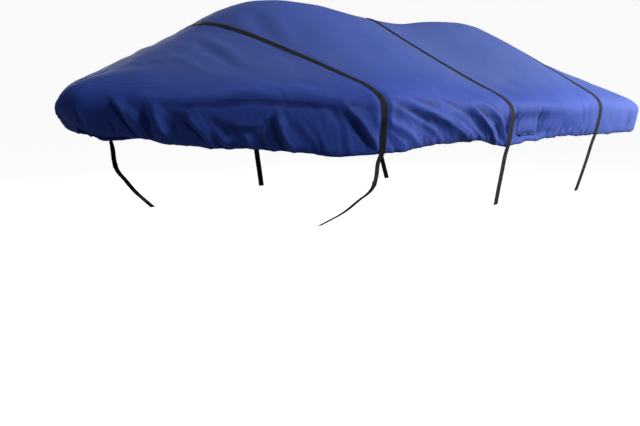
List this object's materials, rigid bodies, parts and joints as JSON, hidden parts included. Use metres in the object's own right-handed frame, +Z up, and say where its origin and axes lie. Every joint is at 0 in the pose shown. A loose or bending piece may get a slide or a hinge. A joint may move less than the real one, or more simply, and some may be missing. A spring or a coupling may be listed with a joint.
{
  "type": "boat cover",
  "caption": "Fitted cloth boat cover with a long peaked top, a gathered side skirt, an arched vent hood on the port side and webbing tie-down straps over the top.",
  "frame": {"origin": "under the cloth at the highest place of the top's centre line, where the cover rests on what it covers", "axes": "+X aft along the centre line, +Y starboard, +Z up"},
  "size_m": [6.0008, 2.4867, 1.5007],
  "materials": {
    "cover_cloth": "matt woven cloth with a faint sheen",
    "strap_webbing": "flat woven webbing"
  },
  "bodies": {
    "root": {"cover": "cover_cloth", "vent_flap": "cover_cloth", "strap_fwd": "strap_webbing", "strap_fwd_tail_port": "strap_webbing", "strap_fwd_tail_starboard": "strap_webbing", "strap_mid": "strap_webbing", "strap_aft": "strap_webbing"}
  },
  "joints": []
}
